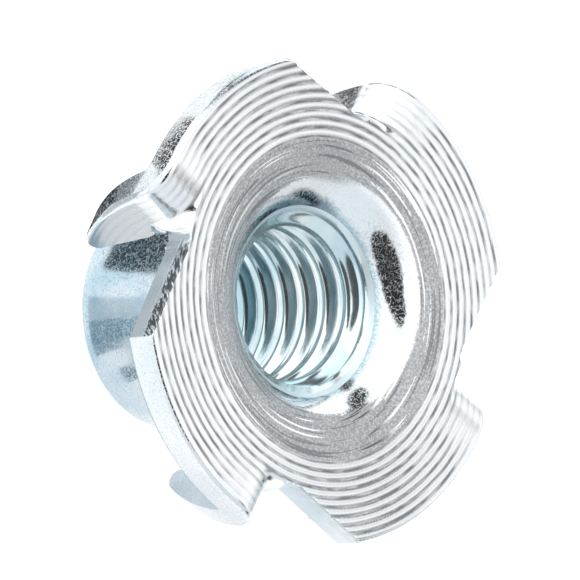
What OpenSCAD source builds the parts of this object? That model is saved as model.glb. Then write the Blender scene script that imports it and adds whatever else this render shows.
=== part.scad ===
// Four-prong tee nut, pressed from one round steel blank.
// The barrel stands on z = 0 with the flange face up. The first prong folds along the X axis.

/* [Flange] */
// Outside diameter of the round blank and of the finished flange
flange_d = 25.4; // [22:0.1:31]
// Height from the barrel end to the flange rim
overall_h = 12.7; // [10:0.05:16]
// Thickness of the sheet in the flange and prongs
sheet_t = 1.75; // [1.2:0.05:2.1]
// Slope of the dished flange face, rising outward, in degrees
dish_angle = 4.4; // [0:0.1:8]
// Diameter where the dished face ends and falls away to the throat
dish_d = 17; // [15:0.1:19]
// Radius on the upper edge of the sheared rim
rim_round = 0.25; // [0.05:0.05:0.6]

/* [Throat] */
// Diameter of the edge where the face turns into the polished throat
throat_d = 13.8; // [12:0.1:15]
// Drop from the inner edge of the dish to the throat edge
throat_drop = 0.5; // [0.2:0.05:1]
// Radius of the rounded throat wall
throat_round = 4.4; // [2:0.1:8]
// Diameter of the mouth where the thread countersink starts
mouth_d = 10; // [9:0.1:12]
// Depth of the mouth under the inner edge of the dish
mouth_depth = 1.75; // [1.2:0.05:2.2]

/* [Barrel] */
// Outside diameter of the barrel
barrel_d = 12.3; // [10.2:0.1:15]
// Fillet where the barrel meets the underside of the flange
barrel_fillet = 1.4; // [0.6:0.1:1.6]
// Radius on the outer edge of the barrel end
end_round = 0.25; // [0.1:0.05:0.5]

/* [Threaded bore] */
// Minor diameter of the thread, which is the bore's wall
bore_d = 8; // [6.6:0.05:8.7]
// Angle of the countersink under the mouth, measured from the bore's axis, in degrees
countersink_angle = 50; // [30:1:60]
// Size of the 45 degree lead-in at the barrel end
lead_in = 0.5; // [0.1:0.05:0.6]

/* [Prongs] */
// Number of prongs around the flange
prong_count = 4; // [3:1:6]
// Distance from the axis to each slit, which is also the inner edge of its prong
slit_offset = 9.4; // [8.8:0.05:11.3]
// Outside radius of the bend
bend_r = 2.4; // [2.2:0.05:3]
// Angle through which each prong is bent down, in degrees
bend_angle = 86; // [70:1:90]
// Radius of the rounded prong tip
tip_r = 0.57; // [0.3:0.01:0.8]
// Radius of the web in the root of each notch
root_r = 1.3; // [0.5:0.1:1.5]

/* [Hidden] */
$fn = 96;
arc_steps = 8;
spare = 2;

blank_r = flange_d / 2;
dish_r = dish_d / 2;
throat_r = throat_d / 2;
mouth_r = mouth_d / 2;
barrel_r = barrel_d / 2;
bore_r = bore_d / 2;

// The face is a shallow cone through its rim, and apex_z is where that cone would meet the axis.
rise = tan(dish_angle);
apex_z = overall_h - blank_r * rise;
dish_z = face_z(dish_r);
mouth_z = dish_z - mouth_depth;
bore_top_z = mouth_z - (mouth_r - bore_r) / tan(countersink_angle);
fillet_z = under_z(barrel_r + barrel_fillet) - barrel_fillet / cos(dish_angle);

// Heights of the dished face and of the sheet's underside at radius r.
function face_z(r) = apex_z + r * rise;
function under_z(r) = face_z(r) - sheet_t / cos(dish_angle);

function reverse(points) = [for (i = [len(points) - 1:-1:0]) points[i]];

// Points along an arc about centre c, from angle a0 to angle a1.
function arc(c, r, a0, a1) =
    [for (i = [0:arc_steps]) c + r * [cos(a0 + (a1 - a0) * i / arc_steps), sin(a0 + (a1 - a0) * i / arc_steps)]];

// Points along the short arc of radius r from p to q that bulges to the left of that way.
function bulge(p, q, r) =
    let (
        half = norm(q - p) / 2,
        along = (q - p) / (2 * half),
        left = [-along.y, along.x],
        c = (p + q) / 2 - left * sqrt(r * r - half * half),
        a0 = atan2(p.y - c.y, p.x - c.x),
        a1 = atan2(q.y - c.y, q.x - c.x)
    ) arc(c, r, a0, a1);

// Half section of the nut before the prongs are cut: barrel, flange, throat and bore.
module half_section() {
    polygon(concat(
        [[bore_r + lead_in, 0]],
        arc([barrel_r - end_round, end_round], end_round, -90, 0),
        arc([barrel_r + barrel_fillet, fillet_z], barrel_fillet, 180, 90 + dish_angle),
        [[blank_r, under_z(blank_r)]],
        arc([blank_r - rim_round, face_z(blank_r) - rim_round], rim_round, 0, 90),
        [[dish_r, dish_z]],
        reverse(bulge([mouth_r, mouth_z], [throat_r, dish_z - throat_drop], throat_round)),
        [[bore_r, bore_top_z], [bore_r, lead_in]]
    ));
}

// What one prong leaves open in the flange: its flat blank, less the web in the notch's root.
module notch() {
    translate([0, 0, fillet_z]) difference() {
        linear_extrude(overall_h) translate([slit_offset, 0]) square(blank_r);
        intersection() {
            linear_extrude(overall_h) web_plan();
            web_slope();
        }
    }
}

// The web's plan: a hollow corner of radius root_r between the slit and the prong's outer face.
module web_plan() {
    polygon(concat([[slit_offset, 0]], arc([slit_offset, bend_r] + root_r * [1, 1], root_r, 270, 180)));
}

// Everything under the web's top, which falls from the flange's edge to the foot of the bend.
module web_slope() {
    edge_z = face_z(slit_offset) - fillet_z;
    translate([0, bend_r + root_r, 0]) rotate([90, 0, 0]) linear_extrude(bend_r + root_r)
        polygon([[slit_offset, edge_z - bend_r], [slit_offset + root_r, edge_z - bend_r], [slit_offset, edge_z]]);
}

// One prong, which leaves the flange at the X axis and points down.
module prong() {
    intersection() {
        translate([0, 0, apex_z]) rotate([0, -dish_angle, 0]) folded_strip();
        prong_outline();
    }
}

// The bent strip of sheet, in the plane that lies on the face along the fold.
module folded_strip() {
    strip_x = slit_offset - spare;
    strip_l = blank_r + spare - strip_x;
    translate([0, 0, -bend_r]) {
        rotate([0, -90, 0]) rotate_extrude(angle = bend_angle)
            translate([bend_r - sheet_t, -strip_x - strip_l]) square([sheet_t, strip_l]);
        rotate([-bend_angle, 0, 0])
            translate([strip_x, 0, bend_r - sheet_t]) cube([strip_l, blank_r, sheet_t]);
    }
}

// What the blank leaves of that strip: a straight inner edge along the slit, the blank's round rim
// folded down, and a rounded tip that touches both.
module prong_outline() {
    tip = [slit_offset + tip_r, -sqrt(pow(blank_r - tip_r, 2) - pow(slit_offset + tip_r, 2))];
    rim_point = tip * blank_r / (blank_r - tip_r);
    translate([0, bend_r + spare, overall_h]) rotate([90, 0, 0]) linear_extrude(bend_r + spare) {
        intersection() {
            circle(blank_r);
            polygon([
                [slit_offset, spare], [slit_offset, tip.y], tip, rim_point,
                [blank_r + spare, rim_point.y], [blank_r + spare, spare]
            ]);
        }
        translate(tip) circle(tip_r);
    }
}

module tee_nut() {
    color("silver") {
        difference() {
            rotate_extrude() half_section();
            for (i = [0:prong_count - 1]) rotate(i * 360 / prong_count) notch();
        }
        for (i = [0:prong_count - 1]) rotate(i * 360 / prong_count) prong();
    }
}

tee_nut();
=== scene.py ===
"""Looks of a four-prong tee nut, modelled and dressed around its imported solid.

The nut is pressed from one round steel blank and plated with bright zinc. Its flange is slit four
times and each flap is folded down as a prong, so the sheet is modelled flat, slit, and then folded.
Sizes are in millimetres until the finished mesh is scaled to metres.
"""

import logging
from dataclasses import dataclass, field
from enum import Enum, IntEnum
from math import atan2, ceil, cos, degrees, pi, radians, sin, sqrt, tan
from typing import Any, Callable, Sequence

import bmesh
import bpy
from bmesh import ops
from bmesh.types import BMesh, BMFace, BMVert
from bpy.types import Material, Node, NodeSocket as Socket, NodeTree as Tree, Object
from mathutils import Matrix, Vector


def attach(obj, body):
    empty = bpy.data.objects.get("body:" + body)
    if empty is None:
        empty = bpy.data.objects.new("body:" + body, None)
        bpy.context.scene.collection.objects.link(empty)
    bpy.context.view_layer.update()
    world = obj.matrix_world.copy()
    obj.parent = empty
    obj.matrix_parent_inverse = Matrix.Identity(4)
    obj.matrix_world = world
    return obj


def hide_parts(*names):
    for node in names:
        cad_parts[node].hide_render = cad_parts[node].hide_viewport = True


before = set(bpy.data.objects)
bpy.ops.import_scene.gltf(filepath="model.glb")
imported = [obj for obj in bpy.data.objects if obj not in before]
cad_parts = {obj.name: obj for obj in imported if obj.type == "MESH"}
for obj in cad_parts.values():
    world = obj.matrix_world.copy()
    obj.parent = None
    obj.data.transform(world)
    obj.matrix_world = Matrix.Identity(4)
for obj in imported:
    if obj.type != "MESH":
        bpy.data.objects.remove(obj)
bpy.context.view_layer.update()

LOG = logging.getLogger("tee_nut")
MM = 0.001
QUARTER = pi / 2
COLUMNS = 320  # faces in a full turn, a multiple of four
JOIN_R = 7.7  # the slit sheet and the core of the nut meet at this radius
TOUCH = 1e-4  # points closer than this, in millimetres, are one
CLOSE = 0.02  # points closer than this to the rim or to JOIN_R belong to it
SHARED_R = JOIN_R + CLOSE / 2  # edges and walls inside this radius are shared with the core
SLIVER = 2e-5  # faces smaller than this, in square millimetres, are dropped
SEAM = 2e-3  # the widest gap between two parts that is welded
CREASE = radians(38)  # edges that turn more than this stay sharp
Point = tuple[float, float]
Triple = tuple[float, float, float]
Colour = tuple[float, float, float, float]


class Zone(IntEnum):
    """Zones of the surface; each value is the zone's place among the nut's materials."""

    FACE = 0
    THROAT = 1
    BORE = 2
    BARREL = 3
    UNDERSIDE = 4
    RIM = 5
    SHEAR = 6


def ease(t: float) -> float:
    """Returns t limited to 0..1 and eased at both ends."""
    t = min(1.0, max(0.0, t))
    return t * t * (3.0 - 2.0 * t)


def arc(centre: Sequence[float], r: float, a0: float, a1: float, steps: int) -> list[Point]:
    """Places points along an arc.

    Args:
        centre: The arc's centre.
        r: Its radius.
        a0: Angle of its first point, in degrees.
        a1: Angle of its last point, in degrees.
        steps: How many chords it has.

    Returns:
        steps + 1 points.
    """
    turns = [radians(a0 + (a1 - a0) * i / steps) for i in range(steps + 1)]
    return [(centre[0] + r * cos(a), centre[1] + r * sin(a)) for a in turns]


def lathe(bm: BMesh, section: Sequence[Point], angle: float, steps: int) -> None:
    """Turns an open section about the Z axis, starting on +X.

    Args:
        bm: The mesh that gets the surface.
        section: Points as (radius, height).
        angle: How far it turns, in radians. A full turn is left with its seam open.
        steps: How many columns of faces it makes.
    """
    verts = [bm.verts.new((r, 0.0, z)) for r, z in section]
    edges = [bm.edges.new(pair) for pair in zip(verts, verts[1:])]
    ops.spin(bm, geom=verts + edges, axis=(0, 0, 1), angle=angle, steps=steps)


def new_object(bm: BMesh, name: str) -> Object:
    """Turns a finished mesh into an object.

    Args:
        bm: The mesh in millimetres, which is freed.
        name: The name of the object and its mesh.

    Returns:
        The object, in metres and linked to the scene.
    """
    ops.scale(bm, vec=(MM, MM, MM), verts=bm.verts)
    mesh = bpy.data.meshes.new(name)
    bm.to_mesh(mesh)
    bm.free()
    thing = bpy.data.objects.new(name, mesh)
    bpy.context.scene.collection.objects.link(thing)
    return thing


@dataclass(frozen=True)
class NutSizes:
    """Sizes of the nut in millimetres and degrees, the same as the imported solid's."""

    blank_r: float = 12.7
    height: float = 12.7
    sheet: float = 1.75
    dish_angle: float = 4.4
    dish_r: float = 8.5
    throat_r: float = 6.9
    throat_drop: float = 0.5
    throat_round: float = 4.4
    mouth_r: float = 5.0
    mouth_depth: float = 1.75
    barrel_r: float = 6.15
    barrel_fillet: float = 1.4
    end_round: float = 0.25
    bore_r: float = 4.0
    countersink_angle: float = 50.0
    lead_in: float = 0.5
    slit_offset: float = 9.4
    bend_r: float = 2.4
    bend_angle: float = 86.0
    tip_r: float = 0.57
    thread_root_r: float = 4.7625
    thread_pitch: float = 1.5875

    @property
    def rise(self) -> float:
        """Rise of the dished face for each millimetre outward."""
        return tan(radians(self.dish_angle))

    def cone_z(self, r: float) -> float:
        """Height of the dished cone at radius r."""
        return self.height + (r - self.blank_r) * self.rise

    def under_z(self, r: float) -> float:
        """Height of the sheet's underside at radius r."""
        return self.cone_z(r) - self.sheet / cos(radians(self.dish_angle))

    def face_z(self, r: float) -> float:
        """Height of the face at radius r, with the slope that leads into the throat."""
        slope = self.throat_drop / (self.dish_r - self.throat_r)
        return self.cone_z(max(r, self.dish_r)) - slope * max(0.0, self.dish_r - r)

    @property
    def mouth_z(self) -> float:
        """Height of the mouth, where the countersink starts."""
        return self.cone_z(self.dish_r) - self.mouth_depth

    @property
    def fillet_z(self) -> float:
        """Height where the fillet under the flange starts."""
        tilt = cos(radians(self.dish_angle))
        return self.under_z(self.barrel_r + self.barrel_fillet) - self.barrel_fillet / tilt


@dataclass(frozen=True)
class RingMarks:
    """The ring marks on the flange face: flat lands with a rounded groove between two of them."""

    first_r: float = 8.59
    spacing: float = 0.4675
    depth: float = 0.031
    end_gap: float = 0.03
    profile: tuple[Point, ...] = (
        (0.0, 0.0), (0.28, 0.0), (0.41, 0.28), (0.53, 0.78), (0.64, 1.0), (0.75, 0.78), (0.87, 0.28)
    )

    def rows(self, end_r: float) -> list[Point]:
        """Places the rows of the marks.

        Args:
            end_r: Radius where the marks end.

        Returns:
            Points as (radius, depth of the mark).
        """
        out, k = [], 0
        while True:
            for share, deep in self.profile:
                r = self.first_r + (k + share) * self.spacing
                if r > end_r - self.end_gap:
                    return out
                out.append((r, deep * self.depth))
            k += 1


@dataclass(frozen=True)
class Slit:
    """The slit's path on the flat blank, in (v, u): v runs along the fold and u away from it.

    It runs straight in from the rim, leaning a little, and hooks outward at its root, where the
    sheet stays whole. No two slits of a punched nut lean quite alike.
    """

    offset: float = 9.4
    lean: float = 0.0
    hook_u: float = 3.4
    root: Point = (10.4, 2.3)
    rim_u: float = 8.5
    overrun: float = 6.5

    @property
    def start(self) -> Vector:
        """Where the straight stretch meets the hook."""
        return Vector((self.offset, self.hook_u))

    @property
    def way(self) -> Vector:
        """Unit vector along the straight stretch, outward."""
        return Vector((self.lean, self.rim_u - self.hook_u)).normalized()

    def line(self) -> list[Vector]:
        """Lays out the path.

        Returns:
            Its points, from outside the rim to the root.
        """
        reach = (self.root[0] - self.offset, self.hook_u - self.root[1])
        points = [self.start + self.way * self.overrun, self.start]
        for share in (0.3, 0.55, 0.78, 1.0):
            a = share * QUARTER
            v, u = self.offset + reach[0] * (1 - cos(a)), self.hook_u - reach[1] * sin(a)
            points.append(Vector((v, u)))
        return points

    def v_at(self, u: float) -> float:
        """Finds the path at a distance from the fold.

        Args:
            u: The distance.

        Returns:
            The path's place along the fold, or its root's where it doesn't reach u.
        """
        for a, b in zip(self.line(), self.line()[1:]):
            if b.y <= u <= a.y:
                return b.x + (a.x - b.x) * (u - b.y) / (a.y - b.y)
        return self.root[0]

    def holds(self, p: Vector) -> bool:
        """Says whether a point lies on the path.

        Args:
            p: The point.

        Returns:
            Whether it is within a thousandth of a millimetre of one of the stretches.
        """
        near = 1e-3
        for a, b in zip(self.line(), self.line()[1:]):
            t = (p - a).dot(b - a) / (b - a).length_squared
            if -near <= t <= 1 + near and (p - a - (b - a) * t).length < near:
                return True
        return False


@dataclass
class Quarter:
    """A quarter of the flange sheet: one prong, and the lobe beside it up to the next fold.

    The sheet bends about its neutral line, a share of its thickness down, and is drawn from the
    flange to the prong over a few tenths of a millimetre around the slit's root.
    """

    sizes: NutSizes
    marks: RingMarks
    slit: Slit
    turn: int
    neutral: float = 0.6
    draw_from: float = 9.6
    draw_fade: float = 1.6
    prong_fade: float = 0.35
    rim_round: float = 0.3
    corner_r: float = 0.3
    edge_break: float = 0.07
    iron: float = 0.92
    iron_from: float = -1.1
    iron_to: float = 0.6
    soften: float = 1.12
    bend_steps: int = 16
    cut_reach: float = 0.4
    wall_rows: tuple[float, ...] = (0.045, 0.32, 0.66, 0.95)

    def build(self) -> BMesh:
        """Builds the quarter, folded and in its place.

        Returns:
            A shell whose only open edges are shared with the other quarters and the core.
        """
        bm = bmesh.new()
        lathe(bm, self.section(), QUARTER, COLUMNS // 4)
        self.cut_slit(bm)
        self.round_corner(bm, self.sizes.tip_r, 8, True)
        self.round_corner(bm, self.corner_r, 4, False)
        self.clear_edges(bm)
        self.thicken(bm)
        self.fold_prong(bm)
        turned = Matrix.Rotation(self.turn * QUARTER, 3, "Z")
        blank = bm.verts.layers.float_vector["blank"]
        for v in bm.verts:
            v[blank] = turned @ v[blank]
        ops.rotate(bm, matrix=turned, verts=bm.verts)
        return bm

    def section(self) -> list[Point]:
        """Lays out the top of the sheet, with its marks and rounded rim.

        Returns:
            Points as (radius, height).
        """
        s = self.sizes
        flat_end = s.blank_r - self.rim_round
        satin = [(JOIN_R, 0.0), (7.95, 0.0), (8.2, 0.0), (8.4, 0.004)]  # ends in a soft step
        line = [(r, s.face_z(r) - deep) for r, deep in satin + self.marks.rows(flat_end)]
        return line + arc((flat_end, s.face_z(flat_end) - self.rim_round), self.rim_round, 90, 0, 5)

    def cut_line(
        self, bm: BMesh, a: Vector, b: Vector, keep: Callable[[Vector], bool] = lambda c: True
    ) -> None:
        """Cuts the faces near one straight stretch of a path.

        Args:
            bm: The flat sheet.
            a: Start of the stretch.
            b: End of the stretch.
            keep: Says for a face's centre whether that face may be cut.
        """
        along, reach = (b - a).normalized(), self.cut_reach
        geom: set[Any] = set()
        for f in bm.faces:
            c = f.calc_center_median().xy
            t, off = (c - a).dot(along), abs((c - a).cross(along))
            if -reach < t < (b - a).length + reach and off < reach and keep(c):
                geom.update([f, *f.edges, *f.verts])
        place, normal = (a.x, a.y, 0), (-along.y, along.x, 0)
        ops.bisect_plane(bm, geom=list(geom), dist=TOUCH, plane_co=place, plane_no=normal)

    def cut_slit(self, bm: BMesh) -> None:
        """Cuts the flat sheet along the slit, parts its two sides and marks the prong's side.

        Args:
            bm: The flat sheet.
        """
        line = self.slit.line()
        for a, b in zip(line, line[1:]):
            self.cut_line(bm, a, b)
        end = (line[-1] - line[-2]).normalized().orthogonal() * 0.01
        self.cut_line(bm, line[-1] - end, line[-1] + end)
        crack = []
        for e in bm.edges:
            a, b = (v.co.xy for v in e.verts)
            if all(map(self.slit.holds, (a, b, (a + b) / 2))):
                crack.append(e)
        ops.split_edges(bm, edges=crack)
        side = bm.verts.layers.float.new("prong")
        for v in bm.verts:
            near = [f.calc_center_median() for f in v.link_faces]
            offs = [c.x - self.slit.v_at(c.y) for c in near if c.y > self.slit.root[1]]
            v[side] = float(max(offs, key=abs, default=0.0) > 0)

    def round_corner(self, bm: BMesh, r: float, steps: int, on_prong: bool) -> None:
        """Rounds the corner between the slit and the rim, on one side of the slit.

        Args:
            bm: The flat sheet with its slit.
            r: Radius of the corner.
            steps: How many chords it has.
            on_prong: Whether this is the prong's corner or the lobe's.
        """
        side = 1 if on_prong else -1
        way = self.slit.way
        inward = Vector((way.y, -way.x)) * side
        base = self.slit.start + inward * r
        along = base.dot(way)
        run = -along + sqrt(along ** 2 - base.length_squared + (self.sizes.blank_r - r) ** 2)
        centre = base + way * run
        first, last = (degrees(atan2(p.y, p.x)) for p in (-inward, centre))
        first += 360 if first < -90 else 0
        points = [Vector(p) for p in arc(centre, r, first, last, steps)]

        def near(c: Vector) -> bool:
            """Whether a point is on this side of the slit's straight stretch."""
            return (c - self.slit.start).dot(inward) > 0 and c.y > self.slit.hook_u

        chords = list(zip(points, points[1:]))
        for a, b in chords:
            self.cut_line(bm, a, b, near)
        middle = radians((first + last) / 2)
        reach = radians(abs(first - last) / 2)
        gone = []
        for f in bm.faces:
            out = f.calc_center_median().xy - centre
            if not near(out + centre) or out.length < 1e-6 or out.length > 4 * r + 0.5:
                continue
            off = atan2(out.y, out.x) - middle
            if abs(atan2(sin(off), cos(off))) > reach:
                continue
            a, b = max(chords, key=lambda c: ((c[0] + c[1]) / 2 - centre).dot(out))
            normal = ((a + b) / 2 - centre).normalized()
            if out.dot(normal) > (a - centre).dot(normal):
                gone.append(f)
        ops.delete(bm, geom=gone, context="FACES")

    def clear_edges(self, bm: BMesh) -> None:
        """Merges what stands closer to the slit than the break of its edge onto the slit.

        Args:
            bm: The flat sheet with its slit.
        """
        targets = {}
        for v in bm.verts:
            if v.is_boundary or v.co.y < self.slit.root[1]:
                continue
            ends = [e.other_vert(v) for e in v.link_edges if e.other_vert(v).is_boundary]
            near = min(ends, key=lambda w: (w.co - v.co).length, default=None)
            if near is None or near.co.xy.length >= self.sizes.blank_r - CLOSE:
                continue
            if (near.co - v.co).length < 1.6 * self.edge_break:
                targets[v] = near
        ops.weld_verts(bm, targetmap=targets)
        ops.delete(bm, geom=[f for f in bm.faces if f.calc_area() < SLIVER], context="FACES")

    def thicken(self, bm: BMesh) -> None:
        """Gives the sheet its thickness and its walls, and marks each face's zone.

        Args:
            bm: The flat sheet, with its slit and rounded corners.
        """
        s = self.sizes
        layers = bm.verts.layers
        blank, way = layers.float_vector.new("blank"), layers.float_vector.new("way")
        share, top_z = layers.float.new("share"), layers.float.new("top_z")
        rim_from = s.blank_r - 0.75 * self.rim_round
        for f in bm.faces:
            at_rim = f.calc_center_median().xy.length > rim_from
            f.material_index = Zone.RIM if at_rim else Zone.FACE
        for v in bm.verts:
            v[top_z] = v.co.z
        for v, out in self.outward(bm).items():
            v[way] = (out.x, out.y, 0.0)
        sheet = [*bm.faces, *bm.edges, *bm.verts]
        new = ops.extrude_face_region(bm, geom=sheet, use_keep_orig=True)["geom"]
        low = {g for g in new if isinstance(g, BMVert)}
        under = {g for g in new if isinstance(g, BMFace)}
        for v in low:
            v.co.z = s.under_z(v.co.xy.length)
            v[share] = 1.0
        for f in under:
            f.material_index = Zone.UNDERSIDE
        shared, walls = [], []
        for f in bm.faces:
            if f in under or not any(v in low for v in f.verts):
                continue
            c = f.calc_center_median().xy
            (shared if c.length < SHARED_R or min(c.x, c.y) < TOUCH else walls).append(f)
        for f in walls:
            at_rim = all(v.co.xy.length > s.blank_r - 1.5 * CLOSE for v in f.verts)
            f.material_index = Zone.RIM if at_rim else Zone.SHEAR
        ops.delete(bm, geom=shared, context="FACES")
        posts = {e for f in walls for e in f.edges if sum(v in low for v in e.verts) == 1}
        cuts = len(self.wall_rows)
        ops.subdivide_edges(bm, edges=list(posts), cuts=cuts, use_grid_fill=True)
        steps = (0.0, *self.wall_rows, 1.0)
        for v in bm.verts:
            if 0.0 < v[share] < 1.0:
                t = steps[round(v[share] * (cuts + 1))]
                v.co.z = v[top_z] + (s.under_z(v.co.xy.length) - v[top_z]) * t
        for v in bm.verts:
            if v[share] > 0.99 or (v[share] < 0.01 and v.co.xy.length < s.blank_r - CLOSE):
                v.co -= v[way] * self.edge_break
        for v in bm.verts:
            v[blank] = v.co

    def outward(self, bm: BMesh) -> dict[BMVert, Vector]:
        """Finds the way out of the sheet at each open edge's vertices.

        Args:
            bm: The flat sheet, before it has its thickness.

        Returns:
            A unit vector by vertex, or none where two sides of the slit meet.
        """
        total: dict[BMVert, Vector] = {}
        for e in bm.edges:
            if not e.is_boundary:
                continue
            a, b = (v.co.xy for v in e.verts)
            if min(max(a.x, b.x), max(a.y, b.y)) < TOUCH or max(a.length, b.length) < SHARED_R:
                continue
            along = (b - a).normalized()
            away = (a + b) / 2 - e.link_faces[0].calc_center_median().xy
            away -= along * away.dot(along)
            for v in e.verts:
                total[v] = total.get(v, Vector((0, 0))) + away.normalized()
        return {v: way.normalized() for v, way in total.items() if way.length > 0.5}

    def across(self, v: float) -> float:
        """How far the draw has come at v along the fold: 0 on the flange, 1 past the root."""
        return ease((v - self.draw_from) / (self.slit.root[0] - self.draw_from))

    def amount(self, v: float, u: float, on_prong: bool) -> float:
        """Says how far the sheet is folded at a point of the blank.

        Args:
            v: Distance along the fold.
            u: Distance from the fold.
            on_prong: Whether the point is on the prong's side of the slit.

        Returns:
            1 on the prong, 0 on the flange, and a smooth change where the sheet is drawn.
        """
        across = self.across(v)
        past = u - self.slit.root[1]
        if past <= 0:
            return across
        if on_prong:
            return across + (1 - across) * ease(past / self.prong_fade)
        return across * (1 - ease(past / self.draw_fade))

    def ironed(self, v: float, u: float) -> float:
        """How far the bending die ironed the marks out, which starts a little before the fold."""
        return self.across(v) * ease((u - self.iron_from) / (self.iron_to - self.iron_from))

    def sweep(self, u: float, amount: float) -> Triple:
        """Follows the sheet's neutral line over the bend, which starts and ends softly.

        Args:
            u: Distance from the fold on the flat blank.
            amount: How far the sheet is folded there, from 0 to 1.

        Returns:
            How far the line has run, how far it has dropped, and its slope in radians.
        """
        s = self.sizes
        turn = amount * radians(s.bend_angle)
        reach = (s.bend_r - self.neutral * s.sheet) * radians(s.bend_angle) * self.soften
        step = min(u, reach) / self.bend_steps
        slopes = [turn * ease((i + 0.5) * step / reach) for i in range(self.bend_steps)]
        slope, rest = turn * ease(u / reach), max(0.0, u - reach)
        run = step * sum(cos(a) for a in slopes) + rest * cos(slope)
        drop = step * sum(sin(a) for a in slopes) + rest * sin(slope)
        return run, drop, slope

    def fold_prong(self, bm: BMesh) -> None:
        """Folds the prong down and draws the sheet around the slit's root.

        Args:
            bm: The sheet with its thickness, still flat.
        """
        s = self.sizes
        side = bm.verts.layers.float["prong"]
        mid = self.neutral * s.sheet
        for vert in bm.verts:
            v, u, z = vert.co
            amount = self.amount(v, u, vert[side] > 0.5)
            r = vert.co.xy.length
            depth = s.cone_z(r) - z
            if depth < 2 * self.marks.depth and s.dish_r < r < s.blank_r - self.rim_round:
                bent = amount * ease(u / 1.4)
                depth *= 1 - self.iron * max(self.ironed(v, u), self.ironed(u, -v), bent)
                vert.co.z = s.cone_z(r) - depth
            if amount < 1e-5 or u <= 0:  # on the flange
                continue
            run, drop, slope = self.sweep(u, amount)
            run += (mid - depth) * sin(slope)
            drop += mid - (mid - depth) * cos(slope)
            level = s.cone_z(v) + (1 - amount) * (s.cone_z(r) - s.cone_z(v))
            vert.co = (v, run, level - drop)


@dataclass
class Core:
    """The core of the nut: the throat, the threaded bore and the barrel, out to the slit sheet."""

    sizes: NutSizes
    thread_form: tuple[Point, ...] = (
        (0.0, 0.0), (0.13, 0.0), (0.17, 0.05), (0.225, 0.32),
        (0.29, 0.58), (0.36, 0.79), (0.43, 0.94), (0.5, 1.0),
    )
    wear: float = 0.13
    fillet_r: float = 7.2

    def build(self) -> BMesh:
        """Builds the core.

        Returns:
            A shell whose only open edges are the two rings it shares with the sheet.
        """
        bm = bmesh.new()
        lathe(bm, self.upper(), 2 * pi, COLUMNS)
        lathe(bm, self.lower(), 2 * pi, COLUMNS)
        for f in bm.faces:
            c = f.calc_center_median()
            if c.z < self.sizes.mouth_z - 0.1:
                zone = Zone.BARREL if c.xy.length < self.fillet_r else Zone.UNDERSIDE
            else:
                zone = Zone.THROAT if c.xy.length < self.sizes.throat_r else Zone.FACE
            f.material_index = zone
        self.cut_thread(bm)
        blank = bm.verts.layers.float_vector.new("blank")
        for v in bm.verts:
            v[blank] = v.co
        return bm

    def upper(self) -> list[Point]:
        """Lays out the section from the sheet in over the throat to the mouth.

        Returns:
            Points as (radius, height).
        """
        s = self.sizes
        edge, mouth = Vector((s.throat_r, s.face_z(s.throat_r))), Vector((s.mouth_r, s.mouth_z))
        along = (edge - mouth).normalized()
        drop = sqrt(s.throat_round ** 2 - (edge - mouth).length_squared / 4)
        centre = (edge + mouth) / 2 - Vector((-along.y, along.x)) * drop
        a0, a1 = (degrees(atan2(p.y - centre.y, p.x - centre.x)) for p in (edge, mouth))
        line = [(r, s.face_z(r)) for r in (JOIN_R, 7.45, 7.25, 7.05)]
        return line + arc(centre, s.throat_round, a0, a1, 14)

    def lower(self) -> list[Point]:
        """Lays out the section from the lead-in out over the barrel and its fillet to the sheet.

        Returns:
            Points as (radius, height).
        """
        s = self.sizes
        line = [(s.bore_r + s.lead_in, 0.0), (5.2, 0.0)]
        line += arc((s.barrel_r - s.end_round, s.end_round), s.end_round, -90, 0, 5)
        line += [(s.barrel_r, z) for z in (1.5, 3.0, 4.5, 6.0, 7.5)]
        centre = (s.barrel_r + s.barrel_fillet, s.fillet_z)
        line += arc(centre, s.barrel_fillet, 180, 90 + s.dish_angle, 9)
        return line + [(JOIN_R, s.under_z(JOIN_R))]

    def cut_thread(self, bm: BMesh) -> None:
        """Cuts the right-hand thread between the countersink and the lead-in.

        The bore is turned as plain rings, and its rows are then shifted along a helix. Rows that
        pass an end of the bore gather there and are merged. Crests are rounded off by wear where
        they meet the countersink or the lead-in.

        Args:
            bm: The core, which gets the bore.
        """
        s = self.sizes
        back = [(1.0 - t, d) for t, d in self.thread_form[-2:0:-1]]
        form = [*self.thread_form, *back]
        turns = range(-1, ceil(s.mouth_z / s.thread_pitch) + 1)
        tall = s.thread_root_r - s.bore_r
        rows = [(s.bore_r + tall * d, s.thread_pitch * (k + t)) for k in turns for t, d in form]
        old_verts, old_faces = set(bm.verts), set(bm.faces)
        lathe(bm, rows, 2 * pi, COLUMNS)
        fresh = [v for v in bm.verts if v not in old_verts]
        for f in bm.faces:
            if f not in old_faces:
                f.material_index = Zone.BORE
        for i, v in enumerate(fresh):
            turn = (i // len(rows)) / COLUMNS
            a = 2 * pi * turn
            r = v.co.xy.length
            z = min(s.mouth_z, max(0.0, v.co.z + s.thread_pitch * turn))
            cone = s.mouth_r - (s.mouth_z - z) * tan(radians(s.countersink_angle))
            wall = max(cone, s.bore_r + s.lead_in - z)
            r = max(r, wall) + 2.0 * max(0.0, self.wear - abs(r - wall)) ** 2
            if z in (0.0, s.mouth_z):
                r = s.mouth_r if z else s.bore_r + s.lead_in
            v.co = (r * cos(a), r * sin(a), z)
        ops.remove_doubles(bm, verts=fresh, dist=TOUCH)


def srgb(code: str) -> Colour:
    """Turns an sRGB hex code into a linear colour with full alpha."""
    parts = [int(code[i:i + 2], 16) / 255 for i in (1, 3, 5)]
    return (*(c / 12.92 if c <= 0.04045 else ((c + 0.055) / 1.055) ** 2.4 for c in parts), 1.0)


def new_material(name: str) -> Material:
    """Makes a material with nodes.

    Args:
        name: The material's name.

    Returns:
        The material.
    """
    mat = bpy.data.materials.new(name)
    mat.use_nodes = True
    return mat


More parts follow.
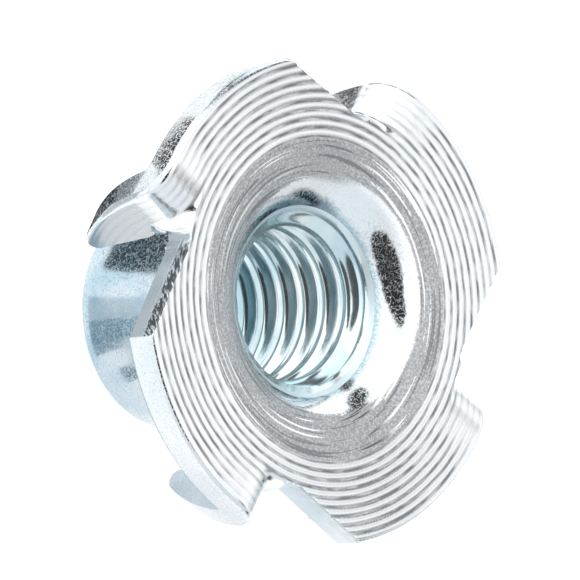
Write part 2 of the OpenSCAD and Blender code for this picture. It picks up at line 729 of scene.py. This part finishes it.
class Graph:
    """A node tree, with a short name for each sum that the materials need."""

    def __init__(self, tree: Tree) -> None:
        """Empties a tree and keeps it."""
        tree.nodes.clear()
        self.tree = tree

    def add(self, kind: str, inputs: dict[Any, Any] | None = None, **settings: Any) -> Node:
        """Adds a node.

        Args:
            kind: The node's type without its ShaderNode prefix.
            inputs: Values by input name or place: a socket is linked, anything else is set.
            settings: The node's own settings.

        Returns:
            The new node.
        """
        node = self.tree.nodes.new("ShaderNode" + kind)
        for name, value in settings.items():
            setattr(node, name, value)
        for key, value in (inputs or {}).items():
            if isinstance(value, Socket):
                self.tree.links.new(value, node.inputs[key])
            else:
                node.inputs[key].default_value = value
        return node

    def calc(self, operation: str, *values: Any) -> Socket:
        """Works out a number from other numbers."""
        return self.add("Math", dict(enumerate(values)), operation=operation).outputs[0]

    def vector(self, operation: str, *values: Any) -> Socket:
        """Works out a vector from other vectors, or a number for a length or a dot product."""
        node = self.add("VectorMath", dict(enumerate(values)), operation=operation)
        return node.outputs["Value" if operation in ("LENGTH", "DOT_PRODUCT") else "Vector"]

    def place(self, x: Any, y: Any, z: Any = 0.0) -> Socket:
        """Makes a vector of three numbers."""
        return self.add("CombineXYZ", {0: x, 1: y, 2: z}).outputs[0]

    def ramp(
        self, value: Any, start: float, end: float, low: float = 0.0, high: float = 1.0
    ) -> Socket:
        """Turns a number into low at start, high at end, and what lies evenly between them."""
        return self.add("MapRange", {0: value, 1: start, 2: end, 3: low, 4: high}).outputs[0]

    def tinted(self, share: Any, colour: Any, other: Any) -> Socket:
        """Mixes a share of another colour into a colour."""
        return self.add("Mix", {0: share, 6: colour, 7: other}, data_type="RGBA").outputs[2]

    def noise(self, place: Any, scale: float, detail: float = 1.0, rough: float = 0.5) -> Socket:
        """Reads a noise at a place."""
        look = {"Vector": place, "Scale": scale, "Detail": detail, "Roughness": rough}
        return self.add("TexNoise", look).outputs[0]


class Surface(Graph):
    """A point of the nut as sockets: its place on the flat blank in millimetres, and its coat."""

    speck: Any
    colour: Any
    rough: Any
    height: Any

    def __init__(self, tree: Tree) -> None:
        """Reads the place that the mesh keeps at each vertex.

        Args:
            tree: The material's node tree.
        """
        super().__init__(tree)
        self.blank = self.add("Attribute", attribute_name="blank").outputs["Vector"]
        self.x, self.y, self.z = self.add("SeparateXYZ", {0: self.blank}).outputs
        self.flat = self.place(self.x, self.y)
        self.r = self.vector("LENGTH", self.flat)
        self.way = self.vector("NORMALIZE", self.flat)

    def ringed(self, around: float, across: float, row: Any = None) -> Socket:
        """Places a noise so that it runs in rings about the axis.

        Args:
            around: How fast the noise changes around the axis.
            across: How fast it changes from ring to ring.
            row: What counts the rings: by default the distance from the axis.

        Returns:
            A socket with the place to read the noise at.
        """
        lifted = self.place(0.0, 0.0, self.calc("MULTIPLY", row or self.r, across))
        return self.vector("ADD", self.vector("MULTIPLY", self.way, (around,) * 3), lifted)

    def past_fold(self, before: float = 0.0) -> Socket:
        """Measures the angle from the last fold, or from the next where that is near.

        Args:
            before: Angle before a fold within which the angle counts from it and is negative.

        Returns:
            A socket with the angle in radians.
        """
        turn = self.calc("ADD", self.calc("ARCTAN2", self.y, self.x), before)
        return self.calc("SUBTRACT", self.calc("FLOORED_MODULO", turn, QUARTER), before)

    def cover(self, share: Any, colour: Any, rough: Any) -> None:
        """Covers a share of the coat with another colour and roughness.

        Args:
            share: How much is covered, from 0 to 1.
            colour: The cover's colour.
            rough: The cover's roughness.
        """
        self.colour = self.tinted(share, self.colour, colour)
        mix = {0: share, 2: self.rough, 3: rough}
        self.rough = self.add("Mix", mix, data_type="FLOAT").outputs[0]


class Grain(Enum):
    """The way that a finish's fine streaks run."""

    RINGS = "around the axis on the face"
    TURNS = "around the axis on a wall"
    DOWN = "through the sheet's thickness"


@dataclass(frozen=True)
class Zinc:
    """Bright zinc plate on pressed steel: a near-mirror with a fine grain and a faint blue film.

    Sizes are in millimetres.
    """

    name: str
    grain: Grain
    metal: str = "#E3E7EA"
    film: str = "#CBDAE3"
    film_share: float = 0.5
    film_scale: float = 0.22
    roughness: float = 0.16
    spread: float = 0.1
    streak: float = 0.12
    streak_run: float = 2.5
    streak_depth: float = 0.0012
    peel: float = 0.35
    peel_depth: float = 0.002
    speck: float = 0.12
    speck_depth: float = 0.001
    crackle: float = 0.0
    crackle_size: float = 0.2
    crackle_width: float = 0.05
    metallic: float = 1.0

    def make(self) -> Material:
        """Makes the material.

        Returns:
            The material, shaded by the place on the flat blank that the mesh keeps.
        """
        mat = new_material(self.name)
        s = Surface(mat.node_tree)
        s.speck = s.noise(s.blank, 1 / self.speck, 2.0)
        film = s.ramp(s.noise(s.blank, self.film_scale, 3.0), 0.35, 0.65, 0.0, self.film_share)
        s.colour = s.tinted(film, srgb(self.metal), srgb(self.film))
        low, high = self.roughness - self.spread / 2, self.roughness + self.spread / 2
        s.rough = s.ramp(s.speck, 0.35, 0.65, max(0.03, low), high)
        if self.crackle:
            ridge = s.calc("SUBTRACT", s.noise(s.blank, 1 / self.crackle_size), 0.5)
            dull = s.ramp(s.calc("ABSOLUTE", ridge), 0.0, self.crackle_width, self.crackle, 0.0)
            s.rough = s.calc("ADD", s.rough, dull)
        peel = s.noise(s.blank, 1 / self.peel)
        s.height = s.calc("MULTIPLY", self.streaks(s), self.streak_depth)
        for bumps, depth in ((peel, self.peel_depth), (s.speck, self.speck_depth)):
            s.height = s.calc("MULTIPLY_ADD", bumps, depth, s.height)
        self.extra(s)
        bump = s.add("Bump", {"Strength": 1.0, "Distance": MM, "Height": s.height}).outputs[0]
        look = {"Base Color": s.colour, "Roughness": s.rough, "Metallic": self.metallic}
        shader = s.add("BsdfPrincipled", {**look, "Normal": bump})
        s.add("OutputMaterial", {"Surface": shader.outputs[0]})
        return mat

    def streaks(self, s: Surface) -> Socket:
        """Draws the fine streaks that the tool leaves.

        Args:
            s: The surface.

        Returns:
            A socket with the height, from 0 to 1.
        """
        if self.grain is Grain.DOWN:
            shape = (1 / self.streak, 1 / self.streak, 1 / self.streak_run)
            return s.noise(s.vector("MULTIPLY", s.blank, shape), 1.0, 2.0)
        row = s.r if self.grain is Grain.RINGS else s.z
        return s.noise(s.ringed(9.0 / self.streak_run, 1 / self.streak, row), 1.0, 2.0)

    def extra(self, s: Surface) -> None:
        """Adds what only some zones have; plain zinc has nothing more."""


@dataclass(frozen=True)
class MarkedFace(Zinc):
    """The ring-marked face and the throat, which one die pressed.

    Each groove of the marks is rougher and darkened with painted shade, drawn only where the face
    looks up, so it fades on the bends and where a fold ironed the marks. Inside the marks the die
    left a satin band, which scatters light to an even grey with burnished and scuffed rings. Its
    inner edge is a circle a little off the axis, so on one side the grey reaches into the throat as
    painted shade.
    About the mouth lies a bluish tint, with a painted dark reflection on one side.
    """

    satin_r: float = 8.4
    satin_roughness: float = 0.5
    satin: str = "#A9ACAF"
    scuff: str = "#808387"
    clear_patch_at: Point = (0.74, -0.54)
    clear_patch_r: float = 6.2
    burnish_roughness: float = 0.12
    mouth_r: float = 5.25
    mouth_fade: float = 0.35
    mouth_film: str = "#7FA3B0"
    # a dark reflection painted on one side of the mouth, and the direction of that side
    dark_reflection: str = "#3F6273"
    dark_reflection_at: float = radians(43)
    # colour of the painted shade in the grooves
    groove: str = "#7E8184"
    groove_roughness: float = 0.4
    groove_at: float = 0.64
    groove_half: float = 0.1
    groove_fade: float = 0.2

    def extra(self, s: Surface) -> None:
        """Adds painted shade in the grooves, the mouth's tint and painted reflection, then the
        satin band.

        Args:
            s: The surface.
        """
        s.cover(self.grooves(s), srgb(self.groove), self.groove_roughness)
        self.tint_mouth_and_paint_reflection(s)
        self.lay_satin(s)

    def tint_mouth_and_paint_reflection(self, s: Surface) -> None:
        """Lays a bluish tint about the mouth, with a wider painted dark reflection on one side.

        Args:
            s: The surface.
        """
        # the painted dark reflection lies on this side of the mouth
        reflection_way = (cos(self.dark_reflection_at), sin(self.dark_reflection_at), 0.0)
        side = s.ramp(s.vector("DOT_PRODUCT", s.way, reflection_way), 0.78, 0.93)
        ragged = s.calc("MULTIPLY_ADD", side, -0.3, s.calc("MULTIPLY_ADD", s.speck, 0.5, s.r))
        share = s.ramp(ragged, self.mouth_r, self.mouth_r + self.mouth_fade, 0.8, 0.0)
        # the bluish tint, turning into the painted dark reflection on its side
        film = s.tinted(side, srgb(self.mouth_film), srgb(self.dark_reflection))
        s.colour = s.tinted(share, s.colour, film)

    def lay_satin(self, s: Surface) -> None:
        """Lays the satin band with its rings, between the bright off-centre patch and the marks.

        The patch sits off the axis, so the grey band reaches into the throat on one side as painted
        shade.

        Args:
            s: The surface.
        """
        bright = srgb(self.metal)
        # the grey band reaches further into the throat on the side away from this patch's centre:
        # painted shade there
        out = s.vector("LENGTH", s.vector("SUBTRACT", s.flat, (*self.clear_patch_at, 0.0)))
        out = s.calc("MULTIPLY_ADD", s.speck, 0.5, out)
        satin_reach = s.ramp(out, self.clear_patch_r + 0.2, self.clear_patch_r + 0.3)
        inside = s.ramp(s.r, self.satin_r - 0.06, self.satin_r + 0.06, 1.0, 0.0)
        rings = s.calc("MULTIPLY_ADD", s.speck, 0.12, s.noise(s.ringed(1.3, 6.5), 1.0))
        scuffs = s.ramp(rings, 0.4, 0.46, 0.8, 0.0)
        shine = s.ramp(rings, 0.66, 0.69)
        band = s.tinted(s.ramp(s.speck, 0.45, 0.62, 0.0, 0.5), srgb(self.satin), bright)
        band = s.tinted(shine, s.tinted(scuffs, band, srgb(self.scuff)), bright)
        rough = s.ramp(shine, 0.0, 1.0, self.satin_roughness, self.burnish_roughness)
        s.cover(s.calc("MULTIPLY", satin_reach, inside), band, rough)

    def grooves(self, s: Surface) -> Socket:
        """Says where the grooves get roughness and painted shade: not where steep or ironed by a
        fold.

        Args:
            s: The surface.

        Returns:
            A socket with 1 in a groove that is wholly rough and shaded.
        """
        marks = RingMarks()
        phase = s.calc("MULTIPLY", s.calc("SUBTRACT", s.r, marks.first_r), 1 / marks.spacing)
        off = s.calc("SUBTRACT", s.calc("FRACT", phase), self.groove_at)
        end = self.groove_half + self.groove_fade
        groove = s.ramp(s.calc("ABSOLUTE", off), self.groove_half, end, 1.0, 0.0)
        shade_share = s.ramp(s.noise(s.ringed(9.0, 5.0), 1.0, 3.0), 0.35, 0.6, 0.35, 1.0)
        up = s.add("SeparateXYZ", {0: s.add("TexCoord").outputs["Normal"]}).outputs[2]
        # the painted shade is drawn only where the face looks up, so it fades on the bends
        level = s.ramp(up, 0.7, 0.93, 0.15, 1.0)
        outside = s.calc("GREATER_THAN", s.r, self.satin_r)
        fold = s.ramp(s.calc("ABSOLUTE", s.past_fold(QUARTER / 2)), 0.05, 0.14, 0.8, 0.0)
        ironed = s.calc("MULTIPLY", fold, s.ramp(s.r, 10.2, 11.0))
        for share in (shade_share, level, outside, s.calc("SUBTRACT", 1.0, ironed)):
            groove = s.calc("MULTIPLY", groove, share)
        return groove


@dataclass(frozen=True)
class TappedBore(Zinc):
    """The bore: bright turns of thread, and a countersink that the drill left duller and paler."""

    sink_r: float = 4.72
    sink_fade: float = 0.08
    sink_roughness: float = 0.42
    sink: str = "#DCEBF0"

    def extra(self, s: Surface) -> None:
        """Adds the countersink."""
        sunk = s.ramp(s.r, self.sink_r, self.sink_r + self.sink_fade)
        s.cover(sunk, srgb(self.sink), self.sink_roughness)


@dataclass(frozen=True)
class ShearedEdge(Zinc):
    """The wall of a slit: burnished by the punch low down, and torn near the face.

    Near the face the wall has ragged notches across the sheet, about a quarter of a millimetre
    apart, with painted shade in them that is strongest on the slits towards +Y. The band stops
    where the slit turns towards the fold. The face above it is a cone: apex and rise.
    """

    apex: float = 11.72
    rise: float = 0.077
    tear_depth: float = 0.75
    # colour of the painted shade in the notches
    notch_shade: str = "#5A5D60"
    notch_depth: float = 0.03

    def extra(self, s: Surface) -> None:
        """Adds the torn band with its painted shade.

        Args:
            s: The surface.
        """
        depth = s.calc("SUBTRACT", s.calc("MULTIPLY_ADD", s.r, self.rise, self.apex), s.z)
        lean = s.calc("MULTIPLY_ADD", depth, 0.5, s.r)
        notch = s.noise(s.place(lean, s.calc("MULTIPLY", depth, 0.35)), 6.5, 2.0, 0.6)
        ragged = s.calc("MULTIPLY_ADD", notch, 0.9, depth)
        torn = s.ramp(ragged, self.tear_depth + 0.4, self.tear_depth + 0.5, 1.0, 0.0)
        # painted shade: strongest on the slits towards +Y, faint towards -Y
        shade_share = s.ramp(s.y, -4.0, 4.0, 0.12, 1.0)
        straight = s.ramp(s.past_fold(), radians(17), radians(21))
        dark = s.ramp(notch, 0.42, 0.5)
        for share in (torn, shade_share, straight):
            dark = s.calc("MULTIPLY", dark, share)
        s.colour = s.tinted(dark, s.colour, srgb(self.notch_shade))
        s.height = s.calc("MULTIPLY_ADD", dark, -self.notch_depth, s.height)


FINISHES: dict[Zone, Zinc] = {
    # Pressed by a turned die: keen bright lands, with a rougher line of painted shade in each
    # groove.
    Zone.FACE: MarkedFace(
        "zinc_ring_marked_face", Grain.RINGS, metal="#E6E8EA", film="#DCE2E6", roughness=0.14,
        streak_depth=0.002, crackle=0.12),
    # Drawn smooth over a punch: nearly a mirror, whose dark reflections break up into crackle.
    # On one side the face's grey band reaches in as painted shade, and by the mouth lies a painted
    # dark reflection.
    Zone.THROAT: MarkedFace(
        "zinc_drawn_throat", Grain.RINGS, film_share=0.22, roughness=0.08, spread=0.06,
        streak_depth=0.0006, peel_depth=0.004, crackle=0.32),
    # Tapped after pressing: thin plate gathers a teal film there, and the crests shine.
    Zone.BORE: TappedBore(
        "zinc_tapped_bore", Grain.TURNS, metal="#EEF4F5", film="#9FC3CE", film_share=0.8,
        roughness=0.12, spread=0.06, metallic=0.88),
    # Drawn through a ring and left unworked: a blue film over a mottled, broken shine.
    Zone.BARREL: Zinc(
        "zinc_rolled_barrel", Grain.DOWN, metal="#E2E7EA", film="#B3CCDA", film_share=1.0,
        roughness=0.19, peel_depth=0.006, crackle=0.6, metallic=0.9),
    # Held against the die's flat back: softly dull, with broad blurred reflections.
    Zone.UNDERSIDE: Zinc(
        "zinc_underside", Grain.RINGS, metal="#DDE5EA", film="#BCCFD8", roughness=0.3, crackle=0.3),
    # Blanked, then tumbled: a shine that fine pits and upright streaks break up.
    Zone.RIM: Zinc(
        "zinc_sheared_rim", Grain.DOWN, metal="#DFE3E6", film="#C9D3D9", film_share=0.8,
        roughness=0.13, peel_depth=0.005, crackle=0.6),
    # Slit by a punch: upright drag lines, and torn notches near the face with painted shade in
    # them.
    Zone.SHEAR: ShearedEdge(
        "zinc_sheared_slit", Grain.DOWN, metal="#D9DFE3", film="#BFCDD5", film_share=0.8,
        roughness=0.22, streak=0.2, streak_depth=0.008),
}


@dataclass
class TeeNut:
    """The whole nut as one piece."""

    sizes: NutSizes = field(default_factory=NutSizes)
    marks: RingMarks = field(default_factory=RingMarks)
    slits: tuple[Slit, ...] = (Slit(9.3, -0.4), Slit(9.4, -0.2), Slit(9.4, 0.2), Slit(9.3, -0.15))

    def build(self) -> Object:
        """Builds the nut, joins its parts and gives it its finishes, in the order of the zones.

        Returns:
            The nut, with a place on the flat blank kept at each vertex.
        """
        bm = bmesh.new()
        quarters = (Quarter(self.sizes, self.marks, slit, k) for k, slit in enumerate(self.slits))
        parts = [*(quarter.build() for quarter in quarters), Core(self.sizes).build()]
        for part in parts:
            mesh = bpy.data.meshes.new("part")
            part.to_mesh(mesh)
            part.free()
            bm.from_mesh(mesh)
            bpy.data.meshes.remove(mesh)
        seams = [v for v in bm.verts if v.is_boundary]
        ops.remove_doubles(bm, verts=seams, dist=SEAM)
        ops.recalc_face_normals(bm, faces=bm.faces)
        for f in bm.faces:
            f.smooth = True
        for e in bm.edges:
            e.smooth = e.calc_face_angle(0.0) < CREASE
        triangles = sum(len(f.verts) - 2 for f in bm.faces)
        open_edges = sum(not e.is_manifold for e in bm.edges)
        LOG.info("nut_shell: %d triangles, %d open edges", triangles, open_edges)
        nut = new_object(bm, "nut_shell")
        for zone in Zone:
            nut.data.materials.append(FINISHES[zone].make())
        return nut


@dataclass(frozen=True)
class Card:
    """A soft-edged card that the studio shows to mirror-like surfaces, seen from the nut.

    Turn is its direction around Z from +X and lift its height above the floor, both in degrees.
    """

    turn: float
    lift: float
    half: float
    soft: float
    level: float
    tint: str = "#FFFFFF"

    @property
    def aim(self) -> Vector:
        """Unit vector from the nut to the card."""
        a, b = radians(self.turn), radians(self.lift)
        return Vector((cos(a) * cos(b), sin(a) * cos(b), sin(b)))

    @property
    def colour(self) -> Colour:
        """The card's light, as a linear colour."""
        return (*(c * self.level for c in srgb(self.tint)[:3]), 1.0)


@dataclass(frozen=True)
class Flag:
    """A flat card on the floor, part of a ring about the nut, that only mirror-like surfaces see.

    It starts and ends at angles around Z in degrees, and its radii are in millimetres.
    """

    turn0: float
    turn1: float
    r0: float
    r1: float
    tint: str
    glow: float = 0.0
    lift: float = 0.1
    steps: int = 36

    def lay(self) -> Object:
        """Lays the card on the floor.

        Returns:
            The card, which the camera doesn't see and which casts no shadow.
        """
        bm = bmesh.new()
        line = [(max(self.r0, 0.01), self.lift), (self.r1, self.lift)]
        lathe(bm, line, radians(self.turn1 - self.turn0), self.steps)
        turned = Matrix.Rotation(radians(self.turn0), 3, "Z")
        ops.rotate(bm, matrix=turned, verts=bm.verts)
        card = new_object(bm, "flag")
        card.visible_camera = card.visible_diffuse = False
        card.visible_shadow = card.visible_transmission = False
        mat = new_material("flag_card")
        tree = Graph(mat.node_tree)
        if self.glow:
            face = tree.add("Emission", {"Color": srgb(self.tint), "Strength": self.glow})
        else:
            face = tree.add("BsdfDiffuse", {"Color": srgb(self.tint)})
        tree.add("OutputMaterial", {"Surface": face.outputs[0]})
        card.data.materials.append(mat)
        return card


@dataclass(frozen=True)
class Studio:
    """A plain light tent: floor, world, lamps and camera."""

    walls: Card = Card(0, 0, 0, 0, 1.0, "#F8F9FA")
    cards: tuple[Card, ...] = (
        Card(110, 25, 40, 30, 1.4), Card(40, 40, 45, 30, 1.6), Card(306, 50, 22, 20, 1.35),
        Card(291, 46, 3, 8, 0.92), Card(321, 47, 4, 7, 0.98),
        Card(218, 35, 15, 25, 1.12, "#F2F7FA"), Card(257, 5, 9, 8, 0.2, "#7FA9BA"),
        Card(349, 41, 7, 7, 0.16), Card(274, 41, 8, 9, 0.5), Card(2, 39, 5, 5, 0.15),
        Card(17, 33, 6, 5, 0.06), Card(29, 14, 6, 6, 0.1), Card(36, 0, 6, 6, 0.1),
        Card(98, 72, 6, 3, 0.04), Card(118, 67, 9, 3, 0.04), Card(138, 64, 13, 3, 0.04),
        Card(160, 62, 15, 3, 0.04), Card(178, 60, 14, 3, 0.04),
    )
    flags: tuple[Flag, ...] = (
        Flag(58, 99, 7.2, 12.2, "#26292C"), Flag(68, 84, 12.2, 16, "#8C9093"),
        Flag(26, 38, 20.6, 23.8, "#26292C"), Flag(28, 42, 29, 110, "#26292C"),
        Flag(54, 77, 20.8, 25, "#26292C"), Flag(129, 142, 6.5, 12, "#9FBBC9"),
        Flag(116, 129, 6.5, 12, "#EAF4F9"), Flag(142, 148, 6.5, 8.6, "#BACDD7"),
        Flag(160, 170, 7.7, 8.8, "#8FABB8"), Flag(84, 122, 13, 24, "#E4E8EA", 0.85),
        Flag(141, 175, 8.6, 12.5, "#E6EAEC", 1.0), Flag(0, 360, 0, 4.4, "#FFFFFF", 1.3),
    )
    paper: str = "#E6E6E6"
    paper_glow: float = 0.6
    floor_half: float = 2000.0
    matt_light: Colour = (0.5, 0.5, 0.5, 1.0)
    white: Colour = (1.0, 1.0, 1.0, 1.0)
    lens: float = 405.6
    shift: Point = (-0.0026, -0.0009)
    camera_at: Triple = (-0.1463, 0.17989, 0.257323)
    camera_axes: tuple[Triple, ...] = (
        (0.38805, 0.81368, -0.43283), (-0.62150, 0.57782, 0.52903), (0.68056, 0.06371, 0.72992),
    )

    def build(self) -> None:
        """Sets up the floor and its cards, the world, two lamps and the camera."""
        self.floor()
        for flag in self.flags:
            flag.lay()
        self.world()
        self.lamp("key_lamp", Vector((0.28, 0.2, 0.3)), 0.25, 1.3)
        self.lamp("fill_lamp", Vector((-0.25, -0.3, 0.4)), 0.4, 0.8)
        self.camera()
        bpy.context.scene.view_settings.view_transform = "Standard"

    def floor(self) -> Object:
        """Lays the plain pale floor under the nut.

        Returns:
            The floor, which looks white, keeps the nut's shadow and adds no light to the nut.
        """
        bm = bmesh.new()
        ops.create_grid(bm, x_segments=1, y_segments=1, size=self.floor_half)
        floor = new_object(bm, "floor")
        mat = new_material("floor_paper")
        tree = Graph(mat.node_tree)
        path = tree.add("LightPath").outputs  # it glows only for the rays that see it
        sharp = tree.calc("MAXIMUM", path["Is Camera Ray"], path["Is Glossy Ray"])
        seen = tree.calc("MAXIMUM", sharp, path["Is Transmission Ray"])
        paper = tree.add("BsdfDiffuse", {"Color": srgb(self.paper)})
        white = tree.add("Emission", {"Color": self.white, "Strength": self.paper_glow})
        glow = tree.add("MixShader", {0: seen, 2: white.outputs[0]})
        both = tree.add("AddShader", {0: paper.outputs[0], 1: glow.outputs[0]})
        tree.add("OutputMaterial", {"Surface": both.outputs[0]})
        floor.data.materials.append(mat)
        return floor

    def world(self) -> None:
        """Sets the tent's soft light: white to the eye, even to matt surfaces, cards to mirrors."""
        world = bpy.data.worlds.new("studio")
        bpy.context.scene.world = world
        world.use_nodes = True
        tree = Graph(world.node_tree)
        ray = tree.add("TexCoord").outputs["Generated"]
        colour: Any = self.walls.colour
        for card in self.cards:
            edge, core = (cos(radians(a)) for a in (card.half + card.soft, card.half))
            near = {0: tree.vector("DOT_PRODUCT", ray, card.aim), 1: edge, 2: core}
            soft = tree.add("MapRange", near, interpolation_type="SMOOTHSTEP").outputs[0]
            colour = tree.tinted(soft, colour, card.colour)
        path = tree.add("LightPath").outputs
        matt = tree.tinted(path["Is Glossy Ray"], self.matt_light, colour)
        shown = tree.tinted(path["Is Camera Ray"], matt, self.white)
        light = tree.add("Background", {"Color": shown, "Strength": 1.0})
        tree.add("OutputWorld", {"Surface": light.outputs[0]})

    def lamp(self, name: str, place: Vector, size: float, power: float) -> None:
        """Hangs a soft area lamp that faces the nut.

        Args:
            name: The lamp's name.
            place: Where it is, in metres.
            size: Its side, in metres.
            power: Its power, in watts.
        """
        data = bpy.data.lights.new(name, "AREA")
        data.size = size
        data.energy = power
        lamp = bpy.data.objects.new(name, data)
        face = (place - Vector((0, 0, 0.01))).to_track_quat("Z", "Y")
        lamp.matrix_world = Matrix.Translation(place) @ face.to_matrix().to_4x4()
        lamp.visible_glossy = False  # mirror-like metal sees the cards instead
        bpy.context.scene.collection.objects.link(lamp)

    def camera(self) -> None:
        """Sets up a long lens above the flange, rolled so that the barrel points left."""
        data = bpy.data.cameras.new("camera")
        data.lens = self.lens
        data.shift_x, data.shift_y = self.shift
        data.clip_start = 0.01
        camera = bpy.data.objects.new("camera", data)
        axes = Matrix(self.camera_axes)
        camera.matrix_world = Matrix.Translation(self.camera_at) @ axes.to_4x4()
        bpy.context.scene.collection.objects.link(camera)
        bpy.context.scene.camera = camera


def main() -> None:
    """Builds the nut and the studio."""
    logging.basicConfig(level=logging.INFO, format="%(name)s: %(message)s")
    nut = TeeNut().build()
    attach(nut, "root")
    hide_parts("tee_nut")
    LOG.info("%s: %s", nut.name, ", ".join(mat.name for mat in nut.data.materials))
    Studio().build()


if __name__ == "__main__":
    main()
